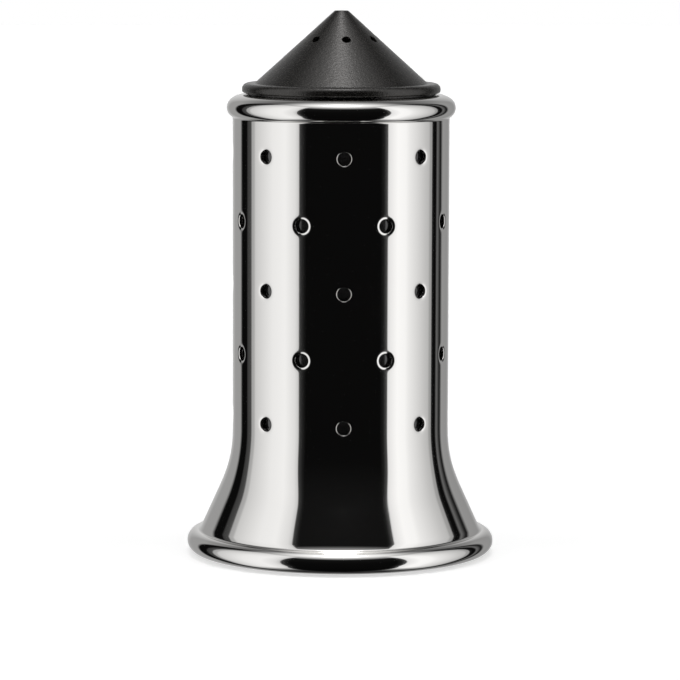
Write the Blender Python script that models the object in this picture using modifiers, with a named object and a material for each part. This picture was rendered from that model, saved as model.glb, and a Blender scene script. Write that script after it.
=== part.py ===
"""Salt shaker: a perforated steel sleeve over a black container, closed by a lift-off cone cap.

Lengths are in metres, +Z is up and the origin lies on the axis at table height. The front looks towards -Y.
Round pieces are turned from (r, z) profiles that start at the top and run down the outer side.
"""

import math
from typing import NamedTuple

import bmesh
import bpy
from mathutils import Matrix, Vector

MM = 0.001

# Sleeve: one polished sheet, rolled over at the mouth, flared to a foot and curled under
SHEET = 0.8 * MM
TUBE_DIAMETER = 42.14 * MM
SLEEVE_TOP = 89.88 * MM
MOUTH_OVERHANG = 1.175 * MM
MOUTH_TOP_RADIUS = 4.385 * MM
MOUTH_SIDE_RADIUS = 2.126 * MM
MOUTH_JOIN_ANGLE = 53.4
MOUTH_LIP_ANGLE = 89.0
THROAT_RADIUS = 0.4 * MM
FLARE_ANGLE = 24.5
FLARE_LENGTH = 14.76 * MM
FOOT_DIAMETER = 60.0 * MM
FOOT_STANDOFF = 0.3 * MM
FOOT_BEAD_RADIUS = 2.15 * MM
FOOT_CREASE_ANGLE = 101.2
FOOT_CREASE_RADIUS = 1.1 * MM
FOOT_CURL_RUN = 0.25 * MM
FOOT_CURL_END = -200.0

# Holes punched through the sleeve, every other row turned by half a step
HOLE_DIAMETER = 2.8 * MM
HOLE_ROWS = 5
HOLES_PER_ROW = 8
FIRST_ROW_HEIGHT = 27.21 * MM
ROW_SPACING = 12.86 * MM
FRONT = -90.0

# Container for the salt, pushed up into the sleeve from below
CONTAINER_WALL = 1.5 * MM
CONTAINER_FLOOR_HEIGHT = 15.0 * MM
CONTAINER_ROUND = 2.0 * MM
BOSS_WALL = 2.2 * MM
BOSS_BORE_DEPTH = 6.7 * MM

# Cap: a cone on a rounded rim, with a spigot that plugs into the container
CAP_STANDOFF = 0.3 * MM
CAP_RIM_THICKNESS = 1.83 * MM
CAP_RIM_TOP_SHARE = 0.6
CAP_RIM_FOOT_SHARE = 0.25
CAP_RIM_OVERHANG = 1.16 * MM
CONE_HEIGHT = 14.04 * MM
CONE_FOOT_SETBACK = 2.49 * MM
CONE_TIP_RADIUS = 1.29 * MM
CONE_TIP_ROUND = 0.35 * MM
CAP_WALL = 1.6 * MM
SPIGOT_LENGTH = 8.67 * MM
SPIGOT_WALL = 2.7 * MM
POUR_HOLE_DIAMETER = 1.65 * MM
POUR_HOLES = 7
POUR_CIRCLE_RADIUS = 7.2 * MM
POUR_TURN = 6.0

# Seal ring in the spigot's groove
SEAL_SECTION = 1.3 * MM
SEAL_DROP = 4.67 * MM
GROOVE_SIDE_GAP = 0.35 * MM
GROOVE_FLOOR_GAP = 0.1 * MM
SEAL_REACH = 0.2 * MM

# Base plate, screw, washer and the soft ring that the shaker stands on
PLATE_THICKNESS = 1.8 * MM
PLATE_SKIRT_WALL = 0.75 * MM
PLATE_SKIRT_STANDOFF = 1.0 * MM
CHANNEL_RIB_WALL = 0.6 * MM
CHANNEL_RIB_STANDOFF = 1.5 * MM
LOCATING_RING_HEIGHT = 4.0 * MM
LOCATING_RING_WALL = 1.5 * MM
FOOT_RING_WIDTH = 2.8 * MM
FOOT_RING_ROUND = 0.4 * MM
SCREW_DIAMETER = 3.0 * MM
SCREW_LENGTH = 9.4 * MM
SCREW_POINT = 0.5 * MM
SCREW_HEAD_DIAMETER = 7.6 * MM
SCREW_HEAD_HEIGHT = 1.8 * MM
SCREW_HEAD_ROUND = 0.7 * MM
WASHER_DIAMETER = 9.0 * MM
WASHER_THICKNESS = 0.5 * MM

# Clearances: pieces that touch on the bench keep a small gap here
SEAT_GAP = 0.3 * MM
SLIDE_GAP = 0.3 * MM
CONTAINER_GAP = 0.35 * MM
PLATE_GAP = 0.35 * MM

# Facets
TURN_STEPS = 48
SMALL_TURN_STEPS = 24
BEND_STEPS = 5
EDGE_STEPS = 3
CREASE_STEPS = 2
FLARE_STEPS = 4
FLARE_SUMS = 64
ROUND_STEPS = 3
HOLE_SIDES = 10
CUT_MARGIN = 2.0 * MM


class Sample(NamedTuple):
    """A place on the sleeve's outer face; facing is the angle in degrees that the face looks towards."""

    r: float
    z: float
    facing: float

    def inside(self):
        """The point opposite, on the sheet's inner face."""
        return toward((self.r, self.z), -SHEET, self.facing)


def toward(centre, distance, angle):
    """The point at a distance from the centre in the (r, z) plane; the angle is in degrees."""
    return (
        centre[0] + distance * math.cos(math.radians(angle)),
        centre[1] + distance * math.sin(math.radians(angle)),
    )


def bend(centre, radius, start, end, steps, hollow=False):
    """Samples down a bend, between two facing angles; a hollow bend has its centre outside the sheet."""
    samples = []
    for i in range(steps + 1):
        facing = start + (end - start) * i / steps
        samples.append(Sample(*toward(centre, -radius if hollow else radius, facing), facing))
    return samples


def flare(start):
    """Samples down the flare from its start on the tube; the slope eases in and out along its length."""
    r, z = start
    samples = [Sample(r, z, 0.0)]
    piece = FLARE_LENGTH / FLARE_SUMS
    for i in range(FLARE_SUMS):
        middle = (i + 0.5) / FLARE_SUMS
        slope = math.radians(FLARE_ANGLE) * middle**2 * (3 - 2 * middle)
        r += piece * math.sin(slope)
        z -= piece * math.cos(slope)
        if (i + 1) % (FLARE_SUMS // FLARE_STEPS) == 0:
            along = (i + 1) / FLARE_SUMS
            samples.append(Sample(r, z, FLARE_ANGLE * along**2 * (3 - 2 * along)))
    return samples


class Sleeve:
    """The sleeve's outer face, and the places it fixes for the pieces inside, above and below it."""

    radius = TUBE_DIAMETER / 2
    bore = radius - SHEET
    mouth_side = (radius + MOUTH_OVERHANG - MOUTH_SIDE_RADIUS, 0.0)
    mouth_top = toward(mouth_side, MOUTH_SIDE_RADIUS - MOUTH_TOP_RADIUS, MOUTH_JOIN_ANGLE)
    mouth_side = (mouth_side[0], SLEEVE_TOP - MOUTH_TOP_RADIUS - mouth_top[1])
    mouth_top = (mouth_top[0], SLEEVE_TOP - MOUTH_TOP_RADIUS)
    throat_r = radius + THROAT_RADIUS
    throat_drop = math.sqrt((MOUTH_SIDE_RADIUS + THROAT_RADIUS) ** 2 - (throat_r - mouth_side[0]) ** 2)
    throat_angle = -math.degrees(math.atan2(throat_drop, throat_r - mouth_side[0]))
    bead = (FOOT_DIAMETER / 2 - FOOT_BEAD_RADIUS, FOOT_STANDOFF + FOOT_BEAD_RADIUS)
    curl = (bead[0] - FOOT_CURL_RUN, bead[1])
    flare_depth = FOOT_BEAD_RADIUS * math.cos(math.radians(FOOT_CREASE_ANGLE - FLARE_ANGLE))
    crease_rise = math.sqrt(
        (FOOT_BEAD_RADIUS + FOOT_CREASE_RADIUS) ** 2 - (flare_depth + FOOT_CREASE_RADIUS) ** 2
    )
    crease = toward(toward(bead, flare_depth + FOOT_CREASE_RADIUS, FLARE_ANGLE), crease_rise, FLARE_ANGLE + 90)
    crest_angle = math.degrees(math.atan2(crease[1] - bead[1], crease[0] - bead[0]))

    @classmethod
    def outer_face(cls):
        """Samples from the mouth's lip to the curl's free edge under the foot; straight runs join the bends."""
        foot_line = toward(cls.crease, -FOOT_CREASE_RADIUS, FLARE_ANGLE)
        flare_end = flare((cls.radius, 0.0))[-1]
        flare_end_z = foot_line[1] + (foot_line[0] - flare_end.r) / math.tan(math.radians(FLARE_ANGLE))
        throat = (cls.throat_r, cls.mouth_side[1] - cls.throat_drop)
        runs = [
            bend(cls.mouth_top, MOUTH_TOP_RADIUS, MOUTH_LIP_ANGLE, MOUTH_JOIN_ANGLE, CREASE_STEPS),
            bend(cls.mouth_side, MOUTH_SIDE_RADIUS, MOUTH_JOIN_ANGLE, cls.throat_angle, BEND_STEPS)[1:],
            bend(throat, THROAT_RADIUS, cls.throat_angle, 0, CREASE_STEPS, hollow=True)[1:],
            flare((cls.radius, flare_end_z - flare_end.z)),
            bend(cls.crease, FOOT_CREASE_RADIUS, FLARE_ANGLE, cls.crest_angle, EDGE_STEPS, hollow=True),
            bend(cls.bead, FOOT_BEAD_RADIUS, cls.crest_angle, 0, EDGE_STEPS)[1:],
            bend(cls.bead, FOOT_BEAD_RADIUS, 0, -90, CREASE_STEPS)[1:],
            bend(cls.curl, FOOT_BEAD_RADIUS, -90, FOOT_CURL_END, EDGE_STEPS),
        ]
        return [sample for run in runs for sample in run]

    @classmethod
    def mouth_roof(cls, r):
        """Height of the mouth's inner face at radius r, under its wide top."""
        return cls.mouth_top[1] + math.sqrt((MOUTH_TOP_RADIUS - SHEET) ** 2 - (r - cls.mouth_top[0]) ** 2)

    @classmethod
    def flare_bore(cls, z):
        """Radius of the flare's inner face at height z, on its straight run."""
        inner = toward(cls.bead, cls.flare_depth - SHEET, FLARE_ANGLE)
        return inner[0] - (z - inner[1]) * math.tan(math.radians(FLARE_ANGLE))

    @classmethod
    def curl_top(cls):
        """Height of the curled foot's free edge, inside the foot."""
        return toward(cls.curl, FOOT_BEAD_RADIUS, FOOT_CURL_END)[1]


# Places worked out from the sizes above
CONTAINER_RADIUS = Sleeve.bore - CONTAINER_GAP
CONTAINER_BORE = CONTAINER_RADIUS - CONTAINER_WALL
CONTAINER_TOP = Sleeve.mouth_roof(CONTAINER_RADIUS) - SEAT_GAP
SPIGOT_RADIUS = CONTAINER_BORE - SLIDE_GAP
CAP_RIM_TOP_ROUND = CAP_RIM_TOP_SHARE * CAP_RIM_THICKNESS
CAP_RIM_FOOT_ROUND = CAP_RIM_FOOT_SHARE * CAP_RIM_THICKNESS
CAP_RIM_RADIUS = SPIGOT_RADIUS + CAP_RIM_OVERHANG
CAP_SEAT = SLEEVE_TOP + CAP_STANDOFF
CONE_FOOT_RADIUS = CAP_RIM_RADIUS - CONE_FOOT_SETBACK
CONE_SLOPE = (CONE_FOOT_RADIUS - CONE_TIP_RADIUS) / CONE_HEIGHT
SEAL_OUTER_RADIUS = SPIGOT_RADIUS + SEAL_REACH
SEAL_RADIUS = SEAL_OUTER_RADIUS - SEAL_SECTION / 2
PLATE_BOTTOM = Sleeve.curl_top() + SEAT_GAP
PLATE_TOP = PLATE_BOTTOM + PLATE_THICKNESS
CONTAINER_FOOT = PLATE_TOP + SEAT_GAP
SCREW_BORE = SCREW_DIAMETER / 2 + SLIDE_GAP
CHANNEL_OUTER = Sleeve.curl[0] - FOOT_BEAD_RADIUS - PLATE_GAP - PLATE_SKIRT_WALL
CHANNEL_INNER = CHANNEL_OUTER - FOOT_RING_WIDTH - 2 * SLIDE_GAP
WASHER_BOTTOM = PLATE_BOTTOM - SEAT_GAP - WASHER_THICKNESS
SCREW_SEAT = WASHER_BOTTOM - SEAT_GAP


def arc(centre, radius, start, end, steps):
    """Points on an arc in the (r, z) plane, with both ends; angles are in degrees."""
    return [toward(centre, radius, start + (end - start) * i / steps) for i in range(steps + 1)]


def collection(name):
    """A new collection linked to the scene."""
    made = bpy.data.collections.new(name)
    bpy.context.scene.collection.children.link(made)
    return made


def material(name, colour, roughness, metallic=0.0):
    """A Principled material with one colour."""
    made = bpy.data.materials.new(name)
    made.use_nodes = True
    shader = made.node_tree.nodes["Principled BSDF"]
    shader.inputs["Base Color"].default_value = (*colour, 1.0)
    shader.inputs["Roughness"].default_value = roughness
    shader.inputs["Metallic"].default_value = metallic
    return made


def turned(name, profile, finish, parts, closed=False, steps=TURN_STEPS, seat=0.0):
    """A piece turned about +Z from an (r, z) profile; seat is the height of the profile's own zero."""
    mesh = bpy.data.meshes.new(name)
    count = len(profile)
    edges = [(i, i + 1) for i in range(count - 1)] + ([(count - 1, 0)] if closed else [])
    mesh.from_pydata([(r, 0.0, z) for r, z in profile], edges, [])
    mesh.materials.append(finish)
    piece = bpy.data.objects.new(name, mesh)
    piece.location.z = seat
    parts.objects.link(piece)
    turn = piece.modifiers.new("Turn", "SCREW")
    turn.axis = "Z"
    turn.steps = turn.render_steps = steps
    turn.use_merge_vertices = True
    turn.merge_threshold = 0.00001
    turn.use_smooth_shade = True
    return piece


def drill(piece, name, axes, diameter, cutters):
    """Cuts round holes; axes holds each hole's (start, end) points in the piece's own frame."""
    bm = bmesh.new()
    for start, end in axes:
        run = end - start
        place = Matrix.Translation((start + end) / 2) @ run.to_track_quat("Z", "Y").to_matrix().to_4x4()
        bmesh.ops.create_cone(
            bm,
            cap_ends=True,
            segments=HOLE_SIDES,
            radius1=diameter / 2,
            radius2=diameter / 2,
            depth=run.length,
            matrix=place,
        )
    mesh = bpy.data.meshes.new(name)
    bm.to_mesh(mesh)
    bm.free()
    cutter = bpy.data.objects.new(name, mesh)
    cutter.location = piece.location
    cutter.hide_render = True
    cutter.display_type = "WIRE"
    cutters.objects.link(cutter)
    cut = piece.modifiers.new(name, "BOOLEAN")
    cut.operation = "DIFFERENCE"
    cut.object = cutter


def around(angle, r, z):
    """The point at radius r, height z and an angle in degrees about +Z."""
    return Vector((r * math.cos(math.radians(angle)), r * math.sin(math.radians(angle)), z))


def perforated_sleeve(parts, cutters):
    """The steel sleeve: mouth bead, straight perforated tube, flare and curled foot bead."""
    face = Sleeve.outer_face()
    profile = [(sample.r, sample.z) for sample in face] + [sample.inside() for sample in face[::-1]]
    steel = material("polished_steel", (0.78, 0.77, 0.75), 0.06, 1.0)
    sleeve = turned("perforated_sleeve", profile, steel, parts, closed=True)
    step = 360.0 / HOLES_PER_ROW
    axes = []
    for row in range(HOLE_ROWS):
        z = FIRST_ROW_HEIGHT + row * ROW_SPACING
        for column in range(HOLES_PER_ROW):
            angle = FRONT + step * (column + (row % 2) / 2)
            axes.append((around(angle, Sleeve.bore - CUT_MARGIN, z), around(angle, Sleeve.radius + CUT_MARGIN, z)))
    drill(sleeve, "sleeve_holes", axes, HOLE_DIAMETER, cutters)
    return sleeve


def salt_container(parts):
    """The black cup: a straight bore above the floor, a skirt and a screw boss below it."""
    floor = CONTAINER_FLOOR_HEIGHT
    under = floor - CONTAINER_WALL
    boss_radius = SCREW_BORE + BOSS_WALL
    bore_corner = (CONTAINER_BORE - CONTAINER_ROUND, floor + CONTAINER_ROUND)
    profile = [(0.0, floor)]
    profile += arc(bore_corner, CONTAINER_ROUND, -90, 0, ROUND_STEPS)
    profile += [
        (CONTAINER_BORE, CONTAINER_TOP),
        (CONTAINER_RADIUS, CONTAINER_TOP),
        (CONTAINER_RADIUS, CONTAINER_FOOT),
        (CONTAINER_BORE, CONTAINER_FOOT),
        (CONTAINER_BORE, under),
        (boss_radius, under),
        (boss_radius, CONTAINER_FOOT),
        (SCREW_BORE, CONTAINER_FOOT),
        (SCREW_BORE, CONTAINER_FOOT + BOSS_BORE_DEPTH),
        (0.0, CONTAINER_FOOT + BOSS_BORE_DEPTH),
    ]
    black = material("container_polyamide", (0.012, 0.012, 0.013), 0.18)
    return turned("salt_container", profile, black, parts)


def cone_cap(parts, cutters):
    """The charcoal cap: perforated cone, rounded rim, and a spigot grooved for the seal ring."""
    tilt = math.degrees(math.atan(CONE_SLOPE))
    cone_top = CAP_RIM_THICKNESS + CONE_HEIGHT
    wall_run = CAP_WALL / math.cos(math.radians(tilt))
    spigot_bore = SPIGOT_RADIUS - SPIGOT_WALL
    inner_tip = (CONE_TIP_RADIUS, cone_top - wall_run / CONE_SLOPE)
    inner_foot = inner_tip[1] - (spigot_bore - inner_tip[0]) / CONE_SLOPE
    groove_floor = SEAL_OUTER_RADIUS - SEAL_SECTION - GROOVE_FLOOR_GAP
    groove_half = SEAL_SECTION / 2 + GROOVE_SIDE_GAP
    round_run = CONE_TIP_ROUND * math.tan(math.radians(90 - tilt) / 2)
    tip_round = (CONE_TIP_RADIUS - round_run, cone_top - CONE_TIP_ROUND)

    profile = [(0.0, cone_top)]
    profile += arc(tip_round, CONE_TIP_ROUND, 90, tilt, ROUND_STEPS)
    profile += [(CONE_FOOT_RADIUS, CAP_RIM_THICKNESS)]
    rim_top = (CAP_RIM_RADIUS - CAP_RIM_TOP_ROUND, CAP_RIM_THICKNESS - CAP_RIM_TOP_ROUND)
    rim_foot = (CAP_RIM_RADIUS - CAP_RIM_FOOT_ROUND, CAP_RIM_FOOT_ROUND)
    profile += arc(rim_top, CAP_RIM_TOP_ROUND, 90, 0, ROUND_STEPS)
    profile += arc(rim_foot, CAP_RIM_FOOT_ROUND, 0, -90, CREASE_STEPS)
    profile += [
        (SPIGOT_RADIUS, 0.0),
        (SPIGOT_RADIUS, groove_half - SEAL_DROP),
        (groove_floor, groove_half - SEAL_DROP),
        (groove_floor, -groove_half - SEAL_DROP),
        (SPIGOT_RADIUS, -groove_half - SEAL_DROP),
        (SPIGOT_RADIUS, -SPIGOT_LENGTH),
        (spigot_bore, -SPIGOT_LENGTH),
        (spigot_bore, inner_foot),
        inner_tip,
        (0.0, inner_tip[1]),
    ]
    charcoal = material("cap_polyamide", (0.045, 0.044, 0.045), 0.48)
    cap = turned("cone_cap", profile, charcoal, parts, seat=CAP_SEAT)
    pour_z = CAP_RIM_THICKNESS + (CONE_FOOT_RADIUS - POUR_CIRCLE_RADIUS) / CONE_SLOPE
    axes = []
    for hole in range(POUR_HOLES):
        angle = FRONT + POUR_TURN + hole * 360.0 / POUR_HOLES
        outward = around(angle, math.cos(math.radians(tilt)), math.sin(math.radians(tilt)))
        mouth = around(angle, POUR_CIRCLE_RADIUS, pour_z)
        axes.append((mouth - outward * (CAP_WALL + CUT_MARGIN), mouth + outward * CUT_MARGIN))
    drill(cap, "pour_holes", axes, POUR_HOLE_DIAMETER, cutters)
    return cap


def cap_seal_ring(parts):
    """The soft ring in the spigot's groove, which grips the container's bore."""
    section = arc((SEAL_RADIUS, -SEAL_DROP), SEAL_SECTION / 2, 90, -270, HOLE_SIDES)[:-1]
    rubber = material("seal_silicone", (0.02, 0.02, 0.02), 0.6)
    return turned("cap_seal_ring", section, rubber, parts, closed=True, seat=CAP_SEAT)


def base_plate(parts):
    """The black disc that snaps in above the foot's curl and carries the container."""
    edge = Sleeve.flare_bore(PLATE_TOP) - PLATE_GAP / math.cos(math.radians(FLARE_ANGLE))
    skirt = CHANNEL_OUTER + PLATE_SKIRT_WALL
    locating = CONTAINER_BORE - SLIDE_GAP
    ring_top = PLATE_TOP + LOCATING_RING_HEIGHT
    rib = CHANNEL_INNER - CHANNEL_RIB_WALL
    profile = [
        (SCREW_BORE, PLATE_TOP),
        (locating - LOCATING_RING_WALL, PLATE_TOP),
        (locating - LOCATING_RING_WALL, ring_top),
        (locating, ring_top),
        (locating, PLATE_TOP),
        (edge, PLATE_TOP),
        (edge, PLATE_BOTTOM),
        (skirt, PLATE_BOTTOM),
        (skirt, PLATE_SKIRT_STANDOFF),
        (CHANNEL_OUTER, PLATE_SKIRT_STANDOFF),
        (CHANNEL_OUTER, PLATE_BOTTOM),
        (CHANNEL_INNER, PLATE_BOTTOM),
        (CHANNEL_INNER, CHANNEL_RIB_STANDOFF),
        (rib, CHANNEL_RIB_STANDOFF),
        (rib, PLATE_BOTTOM),
        (SCREW_BORE, PLATE_BOTTOM),
    ]
    black = material("base_polyamide", (0.018, 0.018, 0.019), 0.45)
    return turned("base_plate", profile, black, parts, closed=True)


def foot_ring(parts):
    """The soft ring in the plate's channel; its flat underside is what the shaker stands on."""
    outer = CHANNEL_OUTER - SLIDE_GAP
    inner = outer - FOOT_RING_WIDTH
    top = PLATE_BOTTOM - SEAT_GAP
    profile = [(inner, top), (outer, top)]
    profile += arc((outer - FOOT_RING_ROUND, FOOT_RING_ROUND), FOOT_RING_ROUND, 0, -90, ROUND_STEPS)
    profile += arc((inner + FOOT_RING_ROUND, FOOT_RING_ROUND), FOOT_RING_ROUND, -90, -180, ROUND_STEPS)
    rubber = material("foot_silicone", (0.025, 0.025, 0.025), 0.7)
    return turned("foot_ring", profile, rubber, parts, closed=True)


def screw_washer(parts):
    """The flat washer between the screw's head and the base plate."""
    outer = WASHER_DIAMETER / 2
    top = WASHER_BOTTOM + WASHER_THICKNESS
    profile = [(SCREW_BORE, top), (outer, top), (outer, WASHER_BOTTOM), (SCREW_BORE, WASHER_BOTTOM)]
    steel = material("washer_steel", (0.6, 0.59, 0.57), 0.3, 1.0)
    return turned("screw_washer", profile, steel, parts, closed=True, steps=SMALL_TURN_STEPS)


def base_screw(parts):
    """The pan-head screw from below, which draws the base plate against the container's boss."""
    shank, head = SCREW_DIAMETER / 2, SCREW_HEAD_DIAMETER / 2
    head_corner = (head - SCREW_HEAD_ROUND, SCREW_HEAD_ROUND - SCREW_HEAD_HEIGHT)
    profile = [
        (0.0, SCREW_LENGTH),
        (shank - SCREW_POINT, SCREW_LENGTH),
        (shank, SCREW_LENGTH - SCREW_POINT),
        (shank, 0.0),
        (head, 0.0),
    ]
    profile += arc(head_corner, SCREW_HEAD_ROUND, 0, -90, ROUND_STEPS)
    profile += [(0.0, -SCREW_HEAD_HEIGHT)]
    steel = material("screw_steel", (0.6, 0.59, 0.57), 0.25, 1.0)
    return turned("base_screw", profile, steel, parts, steps=SMALL_TURN_STEPS, seat=SCREW_SEAT)


def main():
    """Builds the shaker in an emptied scene."""
    for old in list(bpy.data.objects):
        bpy.data.objects.remove(old)
    parts = collection("salt_shaker")
    cutters = collection("cutters")

    perforated_sleeve(parts, cutters)
    salt_container(parts)
    base_plate(parts)
    foot_ring(parts)
    screw_washer(parts)
    base_screw(parts)

    lift = bpy.data.objects.new("cap_axis", None)
    parts.objects.link(lift)
    for piece in (cone_cap(parts, cutters), cap_seal_ring(parts)):
        piece.parent = lift


main()
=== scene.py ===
"""Looks of the salt shaker: fine turned surfaces, finishes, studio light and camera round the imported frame.

Sizes of the pieces are in millimetres, in the frame's own axes: +Z is up the shaker's axis and -Y is its
front. Depths and scales in the finishes are in metres and per metre.
"""

import logging
import math
from collections.abc import Callable, Sequence
from dataclasses import dataclass
from enum import Enum

import bpy
import numpy as np
from mathutils import Euler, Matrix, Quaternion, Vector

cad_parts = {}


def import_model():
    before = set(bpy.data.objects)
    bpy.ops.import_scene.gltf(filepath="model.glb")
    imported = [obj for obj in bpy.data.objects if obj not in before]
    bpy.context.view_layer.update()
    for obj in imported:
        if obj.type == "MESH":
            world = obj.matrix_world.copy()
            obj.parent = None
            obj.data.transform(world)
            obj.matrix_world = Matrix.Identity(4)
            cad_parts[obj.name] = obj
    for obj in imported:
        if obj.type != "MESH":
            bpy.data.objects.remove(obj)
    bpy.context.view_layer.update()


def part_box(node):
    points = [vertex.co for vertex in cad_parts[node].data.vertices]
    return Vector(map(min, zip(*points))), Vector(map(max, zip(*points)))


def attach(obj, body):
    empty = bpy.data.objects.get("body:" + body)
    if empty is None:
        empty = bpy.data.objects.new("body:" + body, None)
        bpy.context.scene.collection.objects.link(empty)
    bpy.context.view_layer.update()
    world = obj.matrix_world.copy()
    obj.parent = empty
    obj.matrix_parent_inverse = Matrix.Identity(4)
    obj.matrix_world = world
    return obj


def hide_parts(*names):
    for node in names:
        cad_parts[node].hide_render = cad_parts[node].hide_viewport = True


Array = np.ndarray
Triple = tuple[float, float, float]
Socket = bpy.types.NodeSocket
Surface = Callable[[Array], tuple[Array, ...]]
LOG = logging.getLogger("salt_shaker")
MM = 0.001
FRONT = -90.0
UP = np.array([0.0, 0.0, 1.0])
TURN_STEPS = 128
SMALL_TURN_STEPS = 64
ARC_STEP = 3.0
SMALL_ARC_STEP = 9.0
SMALL_ARC_RADIUS = 1.0
NOISE_LOW = 0.3
NOISE_HIGH = 0.7
CONTAINER_GAP = 0.35
CAP_GAP = 0.3


class Body(Enum):
    """The bodies that pieces ride on."""

    SHAKER = "shaker_body"
    SEAL = "seal"
    CAP = "cap"


class Skin:
    """Patches of one piece's surface, in millimetres, welded into a mesh with exact normals."""

    WELD = 3e-4

    def __init__(self) -> None:
        """Starts an empty skin."""
        self._points: list[Array] = []
        self._normals: list[Array] = []
        self._quads: list[Array] = []
        self._count = 0

    def patch(self, points: Array, normals: Array) -> None:
        """Adds a grid whose quads join neighbouring rows and columns and face along the normals.

        Args:
            points: Places as an array of rows by columns by 3; the last column joins the first.
            normals: Outward normals in the same shape.
        """
        rows, columns = points.shape[:2]
        index = np.arange(rows * columns).reshape(rows, columns)
        index = np.concatenate([index, index[:, :1]], axis=1)
        corners = [index[:-1, :-1], index[:-1, 1:], index[1:, 1:], index[1:, :-1]]
        quads = np.stack(corners, axis=-1).reshape(-1, 4)
        flat, up = points.reshape(-1, 3), normals.reshape(-1, 3)
        corner = flat[quads]
        facing = np.cross(corner[:, 2] - corner[:, 0], corner[:, 3] - corner[:, 1])
        if np.sum(facing * up[quads].mean(axis=1)) < 0.0:
            quads = quads[:, ::-1]
        self._points.append(flat)
        self._normals.append(up)
        self._quads.append(quads + self._count)
        self._count += len(flat)

    def build(self, name: str) -> bpy.types.Object:
        """Welds the patches and makes an object at the origin.

        Points closer than the weld size become one, and a quad that meets a pole becomes a triangle. Each
        face corner keeps the normal of its own patch, so creases stay sharp and rounds stay smooth.

        Args:
            name: The piece's name.

        Returns:
            The linked object.
        """
        points, normals = np.concatenate(self._points), np.concatenate(self._normals)
        quads = np.concatenate(self._quads)
        cells = np.round(points / self.WELD).astype(np.int64)
        _, first, welded = np.unique(cells, axis=0, return_index=True, return_inverse=True)
        corners = welded.reshape(-1)[quads]
        kept = corners != np.roll(corners, -1, axis=1)
        kept &= (kept.sum(axis=1) >= 3)[:, None]
        sizes = kept.sum(axis=1)
        sizes = sizes[sizes > 0]
        starts = np.cumsum(sizes) - sizes
        loop_normals = normals[quads[kept]]

        mesh = bpy.data.meshes.new(name)
        mesh.vertices.add(len(first))
        mesh.vertices.foreach_set("co", (points[first] * MM).ravel())
        mesh.loops.add(int(sizes.sum()))
        mesh.loops.foreach_set("vertex_index", corners[kept].astype(np.int32))
        mesh.polygons.add(len(sizes))
        mesh.polygons.foreach_set("loop_start", starts.astype(np.int32))
        mesh.update(calc_edges=True)
        mesh.polygons.foreach_set("use_smooth", np.ones(len(sizes), dtype=bool))
        mesh.normals_split_custom_set(loop_normals / np.linalg.norm(loop_normals, axis=1, keepdims=True))
        piece = bpy.data.objects.new(name, mesh)
        bpy.context.scene.collection.objects.link(piece)
        return piece


@dataclass(frozen=True)
class Stretch:
    """A smooth stretch of a turned profile: (r, z) points and outward normals, one row each."""

    points: Array
    normals: Array

    def back(self, thickness: float) -> "Stretch":
        """The other face of a sheet of this thickness."""
        return Stretch(self.points - thickness * self.normals, -self.normals)

    def halved(self) -> "Stretch":
        """Every second point, and both ends, for a face that stays hidden."""
        kept = np.unique(np.append(np.arange(0, len(self.points), 2), len(self.points) - 1))
        return Stretch(self.points[kept], self.normals[kept])

    def until(self, other: "Stretch") -> "Stretch":
        """The straight run from this stretch's end to another one's start."""
        points = np.stack([self.points[-1], other.points[0]])
        return Stretch(points, np.stack([self.normals[-1], other.normals[0]]))

    def lengths(self) -> Array:
        """The length along the stretch up to each of its points."""
        return np.concatenate([[0.0], np.cumsum(np.linalg.norm(np.diff(self.points, axis=0), axis=1))])


def arc(centre: Sequence[float], radius: float, start: float, end: float, side: float = 1.0) -> Stretch:
    """An arc in the (r, z) plane: centre + radius * (cos a, sin a), with a running from start to end.

    Args:
        centre: The arc's centre.
        radius: Its radius.
        start: First angle in degrees.
        end: Last angle in degrees.
        side: 1 where the outward normal points away from the centre, -1 where it points at it.

    Returns:
        The arc as a stretch with a point every few degrees.
    """
    finest = ARC_STEP if radius > SMALL_ARC_RADIUS else SMALL_ARC_STEP
    steps = max(2, math.ceil(abs(end - start) / finest))
    angle = np.radians(np.linspace(start, end, steps + 1))
    direction = np.stack([np.cos(angle), np.sin(angle)], axis=1)
    return Stretch(np.asarray(centre) + radius * direction, side * direction)


def straight(start: Sequence[float], end: Sequence[float]) -> Stretch:
    """A straight stretch; its outward normal lies on the left of the way it runs.

    Args:
        start: First (r, z) point.
        end: Last (r, z) point.

    Returns:
        The stretch with its two end points.
    """
    run = np.subtract(end, start)
    normal = np.array([-run[1], run[0]]) / np.hypot(*run)
    return Stretch(np.array([start, end], dtype=float), np.stack([normal, normal]))


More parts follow.
